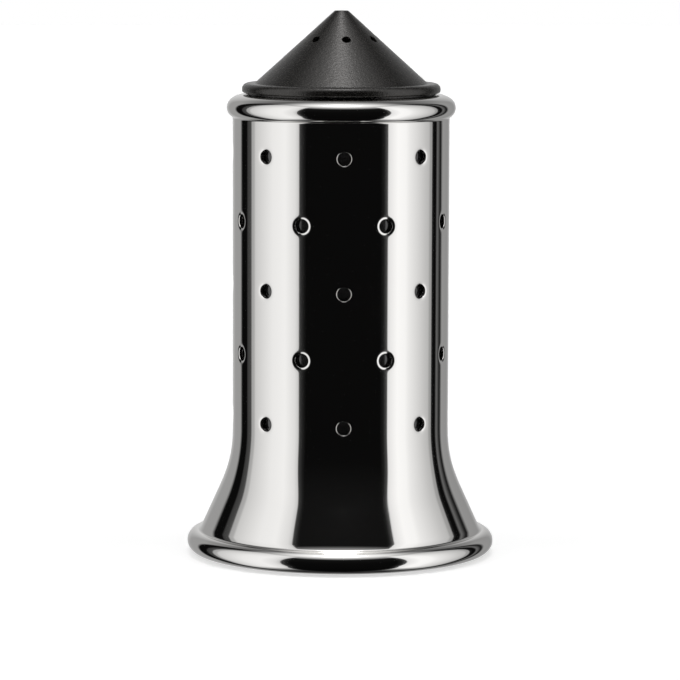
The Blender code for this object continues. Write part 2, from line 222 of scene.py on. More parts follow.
def rounded(corners: Sequence[Triple], closed: bool) -> list[Stretch]:
    """An outline through corners, each rounded by its own radius.

    The outline runs down the outer side. At a corner that turns by t, the round starts radius * tan(t / 2)
    before the corner, and its normal turns evenly from one side's normal to the next one's.

    Args:
        corners: (r, z, rounding radius) of each corner.
        closed: Whether the last corner joins the first.

    Returns:
        Straight stretches and arcs in order.
    """
    place = np.array(corners, dtype=float)
    points, radii = place[:, :2], place[:, 2]
    count = len(points)
    starts, ends, arcs = points.copy(), points.copy(), {}
    for i in range(count) if closed else range(1, count - 1):
        if radii[i] <= 0.0:
            continue
        run_in = points[i] - points[i - 1]
        run_out = points[(i + 1) % count] - points[i]
        run_in, run_out = run_in / np.hypot(*run_in), run_out / np.hypot(*run_out)
        turn = math.atan2(run_in[0] * run_out[1] - run_in[1] * run_out[0], float(run_in @ run_out))
        trim = radii[i] * math.tan(abs(turn) / 2)
        starts[i], ends[i] = points[i] - run_in * trim, points[i] + run_out * trim
        side = -math.copysign(1.0, turn)
        normal = np.array([-run_in[1], run_in[0]])
        first = math.degrees(math.atan2(side * normal[1], side * normal[0]))
        centre = starts[i] - side * radii[i] * normal
        arcs[i] = arc(centre, radii[i], first, first + math.degrees(turn), side)
    outline = []
    for i in range(count):
        if i in arcs:
            outline.append(arcs[i])
        if i + 1 < count or closed:
            outline.append(straight(ends[i], starts[(i + 1) % count]))
    return outline


def around(profile: Array, steps: int, phase: float = 0.0) -> Array:
    """Carries (r, z) rows round the axis: (r cos a, r sin a, z) at even angles a.

    Args:
        profile: The rows to turn.
        steps: Angles in a full turn.
        phase: The first angle in degrees.

    Returns:
        An array of rows by steps by 3.
    """
    angle = math.radians(phase) + np.linspace(0.0, 2 * np.pi, steps, endpoint=False)
    r, z = profile[:, :1], profile[:, 1:]
    return np.stack(np.broadcast_arrays(r * np.cos(angle), r * np.sin(angle), z), axis=-1)


def compass(angle: Array) -> tuple[Array, Array]:
    """Level unit directions at angles a: outwards (cos a, sin a, 0) and sideways (-sin a, cos a, 0).

    Args:
        angle: The angles in radians.

    Returns:
        The outward and the sideways directions.
    """
    c, s, level = np.cos(angle), np.sin(angle), np.zeros_like(angle)
    return np.stack([c, s, level], axis=-1), np.stack([-s, c, level], axis=-1)


def turn_onto(
    skin: Skin, stretches: Sequence[Stretch], steps: int = TURN_STEPS, phase: float = 0.0
) -> None:
    """Adds each stretch of a profile to a skin as a surface of revolution.

    Args:
        skin: Where the surfaces go.
        stretches: The profile.
        steps: Angles in a full turn.
        phase: The first angle in degrees.
    """
    for stretch in stretches:
        skin.patch(around(stretch.points, steps, phase), around(stretch.normals, steps, phase))


def turned(name: str, stretches: Sequence[Stretch], steps: int = TURN_STEPS) -> bpy.types.Object:
    """Makes an object from one whole turned profile.

    Args:
        name: The piece's name.
        stretches: The profile.
        steps: Angles in a full turn.

    Returns:
        The linked object.
    """
    skin = Skin()
    turn_onto(skin, stretches, steps)
    return skin.build(name)


@dataclass(frozen=True)
class Punch:
    """A round hole through a wall, with an edge that rolls in, a straight bore and a dish around it.

    Around the hole, polar rings blend from its circle to the cell's own border, so that cells tile a wall.
    """

    radius: float
    roll_width: float
    roll_depth: float
    wall: float
    roll_rings: int = 3
    field_rings: int = 16
    field_crowding: float = 2.5
    back_rings: int = 3
    dish_depth: float = 0.0
    dish_width: float = 1.0

    def rings(self, border: Array) -> tuple[Array, Array, Array, Array]:
        """Rings from the bore's inner edge up its wall, round the rolled edge and out to the border.

        The roll is a quarter ellipse: radius + width * (1 - sin b), depth * (1 - cos b), with b running
        from 90 to 0 degrees. The dish adds dish depth * exp(-d / dish width) at a distance d past the roll.

        Args:
            border: The cell's border round the hole's centre, as count by 2.

        Returns:
            Local places, depths under the wall's face, and the normal's parts across and along the face.
        """
        spread = np.arctan2(border[:, 1], border[:, 0])
        spoke = np.stack([np.cos(spread), np.sin(spread)], axis=1)
        turn = np.linspace(np.pi / 2, 0.0, self.roll_rings)
        reach = self.radius + self.roll_width * (1.0 - np.sin(turn))
        sink = self.roll_depth * (1.0 - np.cos(turn))
        inward, upward = -np.sin(turn) / self.roll_width, np.cos(turn) / self.roll_depth
        length = np.hypot(inward, upward)
        share = np.linspace(0.0, 1.0, self.field_rings + 1)[1:] ** self.field_crowding
        outer = self.radius + self.roll_width
        field = (1.0 - share)[:, None, None] * outer * spoke + share[:, None, None] * border
        place = np.concatenate([self.radius * spoke[None], reach[:, None, None] * spoke, field])
        flat = np.zeros(self.field_rings)
        beyond = np.maximum(np.linalg.norm(place[1:], axis=2) - outer, 0.0)
        dish = self.dish_depth * np.exp(-beyond / self.dish_width)
        bore = np.full((1, len(border)), self.wall)
        depth = np.concatenate([bore, np.concatenate([sink, flat])[:, None] + dish])
        lean = np.concatenate([inward / length, flat])[:, None] - dish / self.dish_width
        across = np.concatenate([bore * 0.0 - 1.0, lean])
        along = np.concatenate([[0.0], upward / length, flat + 1.0])[:, None] + bore * 0.0
        return place, depth, across, along

    def cut(self, skin: Skin, border: Array, surface: Surface) -> None:
        """Adds one cell: the face with its hole, the bore and the wall's back.

        Args:
            skin: Where the cell goes.
            border: The cell's border round the hole's centre, as count by 2.
            surface: Gives point, normal and the two unit directions of the face at local places.
        """
        place, depth, across, along = self.rings(border)
        point, normal, first, second = surface(place)
        spread = np.arctan2(border[:, 1], border[:, 0])[:, None]
        spoke = np.cos(spread) * first + np.sin(spread) * second
        face = point - depth[..., None] * normal
        skin.patch(face, across[..., None] * spoke + along[..., None] * normal)
        share = np.linspace(0.0, 1.0, self.back_rings + 1)[:, None, None]
        back, normal, _, _ = surface((1.0 - share) * place[:1] + share * border)
        skin.patch(back - self.wall * normal, -normal)


def cell_border(low: Array, high: Array, across: int, up: int) -> Array:
    """Evenly spaced points round a rectangle, anticlockwise from its low corner.

    Args:
        low: The low corner.
        high: The high corner.
        across: Steps along the first direction.
        up: Steps along the second direction.

    Returns:
        The border as count by 2.
    """
    x, y = np.linspace(low[0], high[0], across + 1), np.linspace(low[1], high[1], up + 1)
    sides = [
        np.stack([x[:-1], np.full(across, low[1])], axis=1),
        np.stack([np.full(up, high[0]), y[:-1]], axis=1),
        np.stack([x[:0:-1], np.full(across, high[1])], axis=1),
        np.stack([np.full(up, low[0]), y[:0:-1]], axis=1),
    ]
    return np.concatenate(sides)


class Graph:
    """A short way to write a node tree."""

    def __init__(self, tree: bpy.types.NodeTree) -> None:
        """Keeps the tree and empties it."""
        self.tree = tree
        tree.nodes.clear()

    def add(
        self, kind: str, inputs: dict[str | int, object] | None = None, **settings: object
    ) -> bpy.types.Node:
        """Adds a node; an input given a socket is linked to it, and any other value is set.

        Args:
            kind: The node's type name.
            inputs: Values or sockets by input name or place.
            **settings: Properties of the node.

        Returns:
            The new node.
        """
        node = self.tree.nodes.new(kind)
        for key, value in settings.items():
            setattr(node, key, value)
        for key, value in (inputs or {}).items():
            if isinstance(value, Socket):
                self.tree.links.new(value, node.inputs[key])
            else:
                node.inputs[key].default_value = value
        return node

    def math(self, operation: str, *values: Socket | float) -> Socket:
        """One step of arithmetic on numbers or sockets; the result is its socket."""
        return self.add("ShaderNodeMath", dict(enumerate(values)), operation=operation).outputs[0]

    def blend(self, share: Socket, first: Socket | float, second: Socket | float) -> Socket:
        """Mixes two numbers; the share runs from the first at 0 to the second at 1."""
        return self.add("ShaderNodeMix", {0: share, 2: first, 3: second}).outputs[0]

    def noise(self, place: Socket, scale: Sequence[float], detail: float = 3.0) -> Socket:
        """Noise at a scale per metre along each axis, from 0 to 1.

        Args:
            place: Coordinates to read.
            scale: Scale along X, Y and Z.
            detail: Octaves of the noise.

        Returns:
            The noise value's socket.
        """
        stretched = self.add("ShaderNodeMapping", {"Vector": place, "Scale": tuple(scale)}).outputs[0]
        made = self.add("ShaderNodeTexNoise", {"Vector": stretched, "Scale": 1.0, "Detail": detail})
        return made.outputs[0]

    def spread(self, value: Socket, low: float, high: float) -> Socket:
        """Maps the middle range of a noise value onto low to high."""
        ends = {0: value, 1: NOISE_LOW, 2: NOISE_HIGH, 3: low, 4: high}
        return self.add("ShaderNodeMapRange", ends).outputs[0]

    def bump(self, height: Socket, depth: float, below: Socket | None = None) -> Socket:
        """Bump whose height of 1 stands for a depth in metres.

        Args:
            height: The height value.
            depth: The depth that it stands for.
            below: Normal of an earlier bump.

        Returns:
            The bumped normal's socket.
        """
        node = self.add("ShaderNodeBump", {"Height": height, "Strength": 1.0, "Distance": depth})
        if below is not None:
            self.tree.links.new(below, node.inputs["Normal"])
        return node.outputs[0]


@dataclass(frozen=True)
class Finish:
    """A surface finish; its material is made once and shared by the pieces that take it."""

    name: str
    slot: str

    def shader(self, graph: Graph, place: Socket) -> bpy.types.Node:
        """Builds the finish's Principled shader on the piece's own coordinates."""
        raise NotImplementedError

    def material(self) -> bpy.types.Material:
        """The finish as a node material.

        Returns:
            The new material, or the one made earlier under the same name.
        """
        made = bpy.data.materials.get(self.name)
        if made is None:
            made = bpy.data.materials.new(self.name)
            made.use_nodes = True
            graph = Graph(made.node_tree)
            place = graph.add("ShaderNodeTexCoord").outputs["Object"]
            surface = self.shader(graph, place)
            graph.add("ShaderNodeOutputMaterial", {"Surface": surface.outputs[0]})
        return made


@dataclass(frozen=True)
class MirrorSteel(Finish):
    """Polished stainless sheet: almost a mirror, with slow waves from rolling and faint polishing lines."""

    colour: Triple = (0.80, 0.79, 0.775)
    smoothest: float = 0.03
    dullest: float = 0.07
    smear_scale: Triple = (160.0, 160.0, 60.0)
    wave_scale: Triple = (70.0, 70.0, 45.0)
    wave_depth: float = 4e-6
    line_scale: Triple = (150.0, 150.0, 9000.0)
    line_depth: float = 2.5e-8

    def shader(self, graph: Graph, place: Socket) -> bpy.types.Node:
        """Metal with uneven polish; the waves bend reflections slightly, as on hand-finished sheet.

        Args:
            graph: The material's tree.
            place: Object coordinates.

        Returns:
            The Principled shader.
        """
        smears = graph.noise(place, self.smear_scale, 4.0)
        waves = graph.bump(graph.noise(place, self.wave_scale, 1.0), self.wave_depth)
        lines = graph.bump(graph.noise(place, self.line_scale, 2.0), self.line_depth, waves)
        return graph.add(
            "ShaderNodeBsdfPrincipled",
            {
                "Base Color": (*self.colour, 1.0),
                "Metallic": 1.0,
                "Roughness": graph.spread(smears, self.smoothest, self.dullest),
                "Normal": lines,
            },
        )


@dataclass(frozen=True)
class Moulded(Finish):
    """Moulded polyamide: a dark colour with slight mottling and a fine spark-eroded grain."""

    dark: Triple
    light: Triple
    smoothest: float
    dullest: float
    grain: float
    grain_depth: float
    ior: float = 1.5
    glint: Triple = (1.0, 1.0, 1.0)
    coarse_share: float = 0.38
    coarse_depth: float = 1.6
    mottle: float = 900.0

    def shader(self, graph: Graph, place: Socket) -> bpy.types.Node:
        """Plastic whose grain is two sizes of noise, so that its highlight breaks up finely.

        Args:
            graph: The material's tree.
            place: Object coordinates.

        Returns:
            The Principled shader.
        """
        fine = graph.noise(place, (self.grain,) * 3)
        coarse = graph.noise(place, (self.grain * self.coarse_share,) * 3, 2.0)
        mottle = graph.spread(graph.noise(place, (self.mottle,) * 3, 4.0), 0.0, 1.0)
        colour = graph.add(
            "ShaderNodeMix",
            {"Factor": mottle, "A": (*self.dark, 1.0), "B": (*self.light, 1.0)},
            data_type="RGBA",
        )
        rough = graph.bump(coarse, self.grain_depth * self.coarse_depth)
        return graph.add(
            "ShaderNodeBsdfPrincipled",
            {
                "Base Color": colour.outputs["Result"],
                "Roughness": graph.spread(fine, self.smoothest, self.dullest),
                "IOR": self.ior,
                "Specular Tint": (*self.glint, 1.0),
                "Normal": graph.bump(fine, self.grain_depth, rough),
            },
        )


@dataclass(frozen=True)
class FastenerSteel(Finish):
    """Plain stainless of the screw and washer, with turning marks."""

    colour: Triple = (0.58, 0.57, 0.55)
    smoothest: float = 0.22
    dullest: float = 0.38
    mark_scale: Triple = (9000.0, 1.0, 6000.0)
    mark_depth: float = 2e-6

    def shader(self, graph: Graph, place: Socket) -> bpy.types.Node:
        """Satin metal; rings of fine marks run round the axis.

        Args:
            graph: The material's tree.
            place: Object coordinates.

        Returns:
            The Principled shader.
        """
        parts = graph.add("ShaderNodeSeparateXYZ", {0: place})
        flat = graph.add("ShaderNodeCombineXYZ", {0: parts.outputs[0], 1: parts.outputs[1]})
        length = graph.add("ShaderNodeVectorMath", {0: flat.outputs[0]}, operation="LENGTH")
        ring = graph.add("ShaderNodeCombineXYZ", {0: length.outputs["Value"], 2: parts.outputs[2]})
        marks = graph.noise(ring.outputs[0], self.mark_scale, 2.0)
        return graph.add(
            "ShaderNodeBsdfPrincipled",
            {
                "Base Color": (*self.colour, 1.0),
                "Metallic": 1.0,
                "Roughness": graph.spread(marks, self.smoothest, self.dullest),
                "Normal": graph.bump(marks, self.mark_depth),
            },
        )


STEEL = MirrorSteel("polished_steel_sheet", "polished_steel")
CAP_PLASTIC = Moulded(
    "charcoal_grained_polyamide",
    "cap_polyamide",
    dark=(0.0088, 0.0082, 0.0072),
    light=(0.0142, 0.0133, 0.0118),
    smoothest=0.22,
    dullest=0.32,
    grain=4600.0,
    grain_depth=2.2e-5,
    ior=1.6,
    glint=(1.0, 0.97, 0.95),
)
CONTAINER_PLASTIC = Moulded(
    "black_gloss_polyamide",
    "container_polyamide",
    dark=(0.017, 0.0165, 0.0165),
    light=(0.023, 0.0225, 0.0225),
    smoothest=0.03,
    dullest=0.06,
    grain=2600.0,
    grain_depth=6e-7,
    ior=1.8,
)
BASE_PLASTIC = Moulded(
    "black_grained_polyamide",
    "base_polyamide",
    dark=(0.014, 0.014, 0.0145),
    light=(0.022, 0.022, 0.0225),
    smoothest=0.44,
    dullest=0.60,
    grain=3600.0,
    grain_depth=2e-5,
)
SEAL_SILICONE = Moulded(
    "black_seal_silicone",
    "seal_silicone",
    dark=(0.016, 0.016, 0.016),
    light=(0.024, 0.024, 0.024),
    smoothest=0.48,
    dullest=0.62,
    grain=7000.0,
    grain_depth=4e-6,
)
FOOT_SILICONE = Moulded(
    "black_foot_silicone",
    "foot_silicone",
    dark=(0.018, 0.018, 0.018),
    light=(0.032, 0.032, 0.031),
    smoothest=0.58,
    dullest=0.74,
    grain=5000.0,
    grain_depth=8e-6,
)
FASTENER = FastenerSteel("turned_fastener_steel", "fastener_steel")


def settle(piece: bpy.types.Object, finish: Finish, body: Body, node: str) -> None:
    """Dresses a piece, sets it on its body and lets it stand for its CAD node.

    Args:
        piece: The finished object.
        finish: Its surface finish.
        body: What it rides on.
        node: The node that it stands for.
    """
    piece.data.materials.append(finish.material())
    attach(piece, body.value)
    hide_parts(node)
    LOG.info("%s: %d faces on %s", piece.name, len(piece.data.polygons), body.value)


@dataclass(frozen=True)
class PerforatedSleeve:
    """The steel sleeve: rolled mouth, punched tube, flare and curled foot, bent from one sheet."""

    tube_radius: float
    foot_radius: float
    top: float = 89.88
    sheet: float = 0.8
    mouth_overhang: float = 1.175
    mouth_top_radius: float = 4.385
    mouth_side_radius: float = 2.126
    mouth_join: float = 53.4
    lip_angle: float = 89.0
    throat_radius: float = 0.4
    flare_angle: float = 24.5
    flare_length: float = 14.76
    flare_steps: int = 40
    flare_punched: int = 8
    standoff: float = 0.3
    foot_bead_radius: float = 2.15
    foot_crease_angle: float = 96.3
    foot_crease_radius: float = 0.6
    ease_angle: float = 7.0
    ease_radius: float = 7.0
    curl_run: float = 0.25
    curl_end: float = -200.0
    rows: int = 5
    holes_per_row: int = 8
    first_row: float = 27.21
    row_spacing: float = 12.86
    hole_radius: float = 1.34
    roll_width: float = 0.05
    roll_depth: float = 0.08
    dish_depth: float = 0.15
    dish_width: float = 0.21

    def mouth(self) -> list[Stretch]:
        """The rolled mouth from its lip down to the tube: a wide top, a tighter side and a small throat.

        The top's centre lies on the line through the side's centre at the angle where they join. The
        throat's arc touches the side from outside, so their centres lie at the sum of their radii.

        Returns:
            Three arcs of the outer face.
        """
        join = math.radians(self.mouth_join)
        inset = self.mouth_top_radius - self.mouth_side_radius
        reach = self.tube_radius + self.mouth_overhang
        side = np.array([reach - self.mouth_side_radius, self.top - self.mouth_top_radius])
        side[1] += inset * math.sin(join)
        top = side - inset * np.array([math.cos(join), math.sin(join)])
        across = self.tube_radius + self.throat_radius - side[0]
        drop = math.sqrt((self.mouth_side_radius + self.throat_radius) ** 2 - across**2)
        turn = -math.degrees(math.atan2(drop, across))
        throat = (side[0] + across, side[1] - drop)
        return [
            arc(top, self.mouth_top_radius, self.lip_angle, self.mouth_join),
            arc(side, self.mouth_side_radius, self.mouth_join, turn),
            arc(throat, self.throat_radius, 180.0 + turn, 180.0, -1.0),
        ]

    def flare(self, end: Sequence[float]) -> Stretch:
        """The flare down to its straight run: with t from 0 to 1 its slope is angle * (3 t^2 - 2 t^3).

        The points are sums of length * (sin slope, -cos slope), so that the curve starts upright on the
        tube and bends without a jump in its curvature.

        Args:
            end: A point of the straight run that follows it.

        Returns:
            The curve's outer face.
        """
        t = np.linspace(0.0, 1.0, self.flare_steps + 1)
        middle = (t[1:] + t[:-1]) / 2
        slope, between = (math.radians(self.flare_angle) * x**2 * (3.0 - 2.0 * x) for x in (t, middle))
        step = self.flare_length / self.flare_steps
        r = self.tube_radius + step * np.concatenate([[0.0], np.cumsum(np.sin(between))])
        z = -step * np.concatenate([[0.0], np.cumsum(np.cos(between))])
        z += end[1] + (end[0] - r[-1]) / math.tan(math.radians(self.flare_angle)) - z[-1]
        return Stretch(np.stack([r, z], axis=1), np.stack([np.cos(slope), np.sin(slope)], axis=1))

    def foot(self) -> list[Stretch]:
        """The foot from the bend that eases the flare into its crease to the curl's free edge.

        The eased flare's line, run on, would meet the bead's circle at the crease angle. The crease's arc
        touches that line and, from outside, the circle, so its centre lies at the sum of the two radii from
        the bead's centre. The easing arc ends where the crease starts, with the same normal.

        Returns:
            Four arcs of the outer face; a short flat run joins the last two.
        """
        bead = np.array([self.foot_radius - self.foot_bead_radius, self.standoff + self.foot_bead_radius])
        eased = self.flare_angle + self.ease_angle
        lean = math.radians(eased)
        out, up = np.array([math.cos(lean), math.sin(lean)]), np.array([-math.sin(lean), math.cos(lean)])
        ahead = self.foot_bead_radius * math.cos(math.radians(self.foot_crease_angle) - lean)
        ahead += self.foot_crease_radius
        rise = math.sqrt((self.foot_bead_radius + self.foot_crease_radius) ** 2 - ahead**2)
        offset = ahead * out + rise * up
        crest = math.degrees(math.atan2(offset[1], offset[0]))
        curl = bead - np.array([self.curl_run, 0.0])
        ease = bead + offset + (self.ease_radius - self.foot_crease_radius) * out
        return [
            arc(ease, self.ease_radius, 180.0 + self.flare_angle, 180.0 + eased, -1.0),
            arc(bead + offset, self.foot_crease_radius, 180.0 + eased, 180.0 + crest, -1.0),
            arc(bead, self.foot_bead_radius, crest, -90.0),
            arc(curl, self.foot_bead_radius, -90.0, self.curl_end),
        ]

    def hem(self, point: Array, facing: float, swing: float) -> Stretch:
        """The sheet's rounded free edge: a half circle of its thickness, from a point of its outer face."""
        way = np.array([math.cos(math.radians(facing)), math.sin(math.radians(facing))])
        return arc(point - self.sheet / 2 * way, self.sheet / 2, facing, facing + swing)

    def wall_face(self, centre: float, height: float, flare: Stretch) -> Surface:
        """The wall round a hole: local x is arc length round the tube and local y is length up the profile.

        Above the flare's start the profile is upright. Below it, places lie between the flare's points, and
        normals between its slopes, by length.

        Args:
            centre: The hole's angle in degrees.
            height: The hole's height.
            flare: The flare's outer face, from its start.

        Returns:
            A function that gives point, normal, and the directions round and up the wall.
        """
        length = flare.lengths()
        slopes = np.arctan2(flare.normals[:, 1], flare.normals[:, 0])

        def surface(local: Array) -> tuple[Array, ...]:
            """Rolls local places onto the wall.

            Args:
                local: The places, with x and y on the last axis.

            Returns:
                Points, normals, and the directions round and up the wall.
            """
            angle = math.radians(centre) + local[..., 0] / self.tube_radius
            rise = height + local[..., 1] - flare.points[0][1]
            below = np.maximum(-rise, 0.0)
            r = np.interp(below, length, flare.points[:, 0])[..., None]
            z = (np.interp(below, length, flare.points[:, 1]) + np.maximum(rise, 0.0))[..., None]
            slope = np.interp(below, length, slopes)[..., None]
            outward, sideways = compass(angle)
            normal = np.cos(slope) * outward + np.sin(slope) * UP
            up = np.cos(slope) * UP - np.sin(slope) * outward
            return r * outward + z * UP, normal, sideways, up

        return surface

    def build(self) -> bpy.types.Object:
        """Turns the bends and tiles the tube with punched cells.

        Returns:
            The sleeve's object.
        """
        skin = Skin()
        mouth, foot = self.mouth(), self.foot()
        flare = self.flare(foot[0].points[0])
        plain = Stretch(flare.points[self.flare_punched :], flare.normals[self.flare_punched :])
        outer = [*mouth, plain, flare.until(foot[0]), *foot[:-1], foot[-2].until(foot[-1]), foot[-1]]
        turn_onto(skin, [*outer, *[stretch.halved().back(self.sheet) for stretch in outer]])
        lip = self.hem(mouth[0].points[0], self.lip_angle, 180.0)
        turn_onto(skin, [lip, self.hem(foot[-1].points[-1], self.curl_end, -180.0)])

        tube_low = flare.points[0][1] - flare.lengths()[self.flare_punched]
        tube_high = mouth[-1].points[-1][1]
        heights = [self.first_row + i * self.row_spacing for i in range(self.rows)]
        seams = [tube_low, *[(a + b) / 2 for a, b in zip(heights, heights[1:])], tube_high]
        half_width = math.pi * self.tube_radius / self.holes_per_row
        punch = Punch(
            self.hole_radius,
            self.roll_width,
            self.roll_depth,
            self.sheet,
            dish_depth=self.dish_depth,
            dish_width=self.dish_width,
        )
        across = TURN_STEPS // self.holes_per_row
        for row, height in enumerate(heights):
            low, high = seams[row] - height, seams[row + 1] - height
            border = cell_border(np.array([-half_width, low]), np.array([half_width, high]), across, across)
            for column in range(self.holes_per_row):
                angle = FRONT + 360.0 / self.holes_per_row * (column + (row % 2) / 2)
                punch.cut(skin, border, self.wall_face(angle, height, flare))
        return skin.build("steel_sleeve")

    def dress(self) -> None:
        """Builds the sleeve and sets it on the shaker."""
        settle(self.build(), STEEL, Body.SHAKER, "perforated_sleeve")


@dataclass(frozen=True)
class SaltContainer:
    """The black cup inside the sleeve, with a skirt and a screw boss under its floor."""

    radius: float
    top: float
    foot: float
    wall: float = 1.5
    floor: float = 15.0
    floor_round: float = 2.0
    edge_round: float = 0.35
    boss_radius: float = 4.0
    boss_bore: float = 1.8
    boss_bore_depth: float = 6.7

    def dress(self) -> None:
        """Turns the cup from its rounded outline and sets it in the shaker."""
        bore, under, edge = self.radius - self.wall, self.floor - self.wall, self.edge_round
        outline = [
            (0.0, self.floor, 0.0),
            (bore, self.floor, self.floor_round),
            (bore, self.top, edge),
            (self.radius, self.top, edge),
            (self.radius, self.foot, edge),
            (bore, self.foot, edge),
            (bore, under, edge),
            (self.boss_radius, under, edge),
            (self.boss_radius, self.foot, edge),
            (self.boss_bore, self.foot, edge / 2),
            (self.boss_bore, self.foot + self.boss_bore_depth, edge / 2),
            (0.0, self.foot + self.boss_bore_depth, 0.0),
        ]
        cup = turned("black_container", rounded(outline, closed=False))
        settle(cup, CONTAINER_PLASTIC, Body.SHAKER, "salt_container")


@dataclass(frozen=True)
class ConeCap:
    """The charcoal cap: cone with pour holes, rounded rim, and a spigot with a groove for the seal ring."""

    spigot_radius: float
    seat: float
    rim_thickness: float = 1.83
    rim_top_round: float = 1.098
    rim_foot_round: float = 0.4575
    rim_overhang: float = 1.16
    cone_height: float = 14.04
    cone_foot_setback: float = 2.49
    tip_radius: float = 1.29
    tip_round: float = 0.35
    wall: float = 1.6
    spigot_length: float = 8.67
    spigot_wall: float = 2.7
    spigot_edge: float = 0.5
    bore_edge: float = 0.4
    groove_drop: float = 4.67
    groove_half: float = 1.0
    groove_depth: float = 1.2
    groove_edge: float = 0.12
    groove_corner: float = 0.2
    pour_radius: float = 0.825
    pour_edge: float = 0.1
    pour_circle: float = 7.2
    pour_holes: int = 7
    pour_turn: float = 6.0
    pour_cell: float = 2.0
    pour_roll_rings: int = 5
    pour_field_rings: int = 6
    steps_per_hole: int = 18

    def bore(self) -> float:
        """The spigot's inner radius."""
        return self.spigot_radius - self.spigot_wall

    def rim_top(self) -> float:
        """Height of the rim's upper face."""
        return self.seat + self.rim_thickness

    def foot(self) -> float:
        """The cone's radius where it meets the rim."""
        return self.spigot_radius + self.rim_overhang - self.cone_foot_setback

    def slope(self) -> float:
        """The cone's half angle at its tip, in radians."""
        return math.atan2(self.foot() - self.tip_radius, self.cone_height)

    def apex(self) -> float:
        """Height of the point where the cone's sides would meet."""
        return self.rim_top() + self.cone_height + self.tip_radius / math.tan(self.slope())

    def inner_length(self, radius: float) -> float:
        """Distance from the apex down the slope to where the cone's inner face has a radius."""
        return (radius + self.wall * math.cos(self.slope())) / math.sin(self.slope())

    def cone_point(self, centre: float) -> Surface:
        """The cone's face round a pour hole, rolled out flat: x runs down the slope and y runs round.

        A flat place at distance l from the apex and at angle w lies at radius l * sin(half angle), at
        height apex - l * cos(half angle), and at w / sin(half angle) round the axis.

        Args:
            centre: The hole's angle in degrees.

        Returns:
            A function that gives point, normal, and the two flat directions on the cone.
        """
        sine, cosine = math.sin(self.slope()), math.cos(self.slope())
        start, apex = self.pour_circle / sine, self.apex()

        def surface(local: Array) -> tuple[Array, ...]:
            """Rolls flat places onto the cone.

            Args:
                local: The places, with x and y on the last axis.

            Returns:
                Points, normals, and the directions down and round the cone.
            """
            length = np.hypot(start + local[..., 0], local[..., 1])
            swing = np.arctan2(local[..., 1], start + local[..., 0])
            outward, sideways = compass(math.radians(centre) + swing / sine)
            normal = cosine * outward + sine * UP
            downhill = sine * outward - cosine * UP
            point = length[..., None] * downhill + apex * UP
            c, s = np.cos(swing)[..., None], np.sin(swing)[..., None]
            return point, normal, c * downhill - s * sideways, s * downhill + c * sideways

        return surface

    def pour_border(self) -> Array:
        """The border of one pour hole's cell on the rolled-out cone: two arcs and two spokes.

        Returns:
            The border as count by 2, round the hole's centre.
        """
        sine = math.sin(self.slope())
        start = self.pour_circle / sine
        half = math.pi / self.pour_holes * sine
        flat = cell_border(
            np.array([start - self.pour_cell, -half]),
            np.array([start + self.pour_cell, half]),
            self.steps_per_hole,
            self.steps_per_hole,
        )
        return np.stack([flat[:, 0] * np.cos(flat[:, 1]) - start, flat[:, 0] * np.sin(flat[:, 1])], axis=1)

    def cone_band(self, near: float, far: float, depth: float) -> Stretch:
        """A plain band of the cone; on its face it looks outwards, and at a depth under it inwards.

        Args:
            near: The band's first distance from the apex, down the slope.
            far: Its last distance from the apex.
            depth: How deep it lies under the cone's face.

        Returns:
            The band as a stretch.
        """
        sine, cosine = math.sin(self.slope()), math.cos(self.slope())
        length = np.array([near, far])
        r, z = length * sine - depth * cosine, self.apex() - length * cosine - depth * sine
        normal = np.array([cosine, sine]) * (1.0 if depth == 0.0 else -1.0)
        return Stretch(np.stack([r, z], axis=1), np.stack([normal, normal]))

    def cone(self) -> list[Stretch]:
        """The cone without the band of its pour holes: tip, outer face, inner face and ceiling.

        Returns:
            Stretches of the profile.
        """
        sine, tilt = math.sin(self.slope()), math.degrees(self.slope())
        top = self.rim_top() + self.cone_height
        ease = self.tip_round * math.tan(math.radians(90.0 - tilt) / 2)
        crown = arc((self.tip_radius - ease, top - self.tip_round), self.tip_round, 90.0, tilt)
        tip_length = (self.apex() - crown.points[-1][1]) / math.cos(self.slope())
        near, far = self.pour_circle / sine - self.pour_cell, self.pour_circle / sine + self.pour_cell
        inner = self.cone_band(self.inner_length(self.tip_radius), near, self.wall)
        ceiling = inner.points[0][1]
        return [
            straight((0.0, top), crown.points[0]),
            crown,
            self.cone_band(tip_length, near, 0.0),
            self.cone_band(far, self.foot() / sine, 0.0),
            inner,
            self.cone_band(far, self.inner_length(self.bore()), self.wall),
            straight((self.tip_radius, ceiling), (0.0, ceiling)),
        ]

    def rim_and_spigot(self) -> list[Triple]:
        """The rest of the profile: down from the cone's foot, round the grooved spigot and up its bore.

        Returns:
            (r, z, rounding radius) of each corner.
        """
        rim_radius = self.spigot_radius + self.rim_overhang
        groove_top = self.seat - self.groove_drop + self.groove_half
        groove_low = groove_top - 2 * self.groove_half
        groove_floor = self.spigot_radius - self.groove_depth
        low = self.seat - self.spigot_length
        bore_length = self.inner_length(self.bore())
        bore_top = self.cone_band(bore_length, bore_length, self.wall).points[0][1]
        return [
            (self.foot(), self.rim_top(), 0.0),
            (rim_radius, self.rim_top(), self.rim_top_round),
            (rim_radius, self.seat, self.rim_foot_round),
            (self.spigot_radius, self.seat, 0.0),
            (self.spigot_radius, groove_top, self.groove_edge),
            (groove_floor, groove_top, self.groove_corner),
            (groove_floor, groove_low, self.groove_corner),
            (self.spigot_radius, groove_low, self.groove_edge),
            (self.spigot_radius, low, self.spigot_edge),
            (self.bore(), low, self.bore_edge),
            (self.bore(), bore_top, 0.0),
        ]

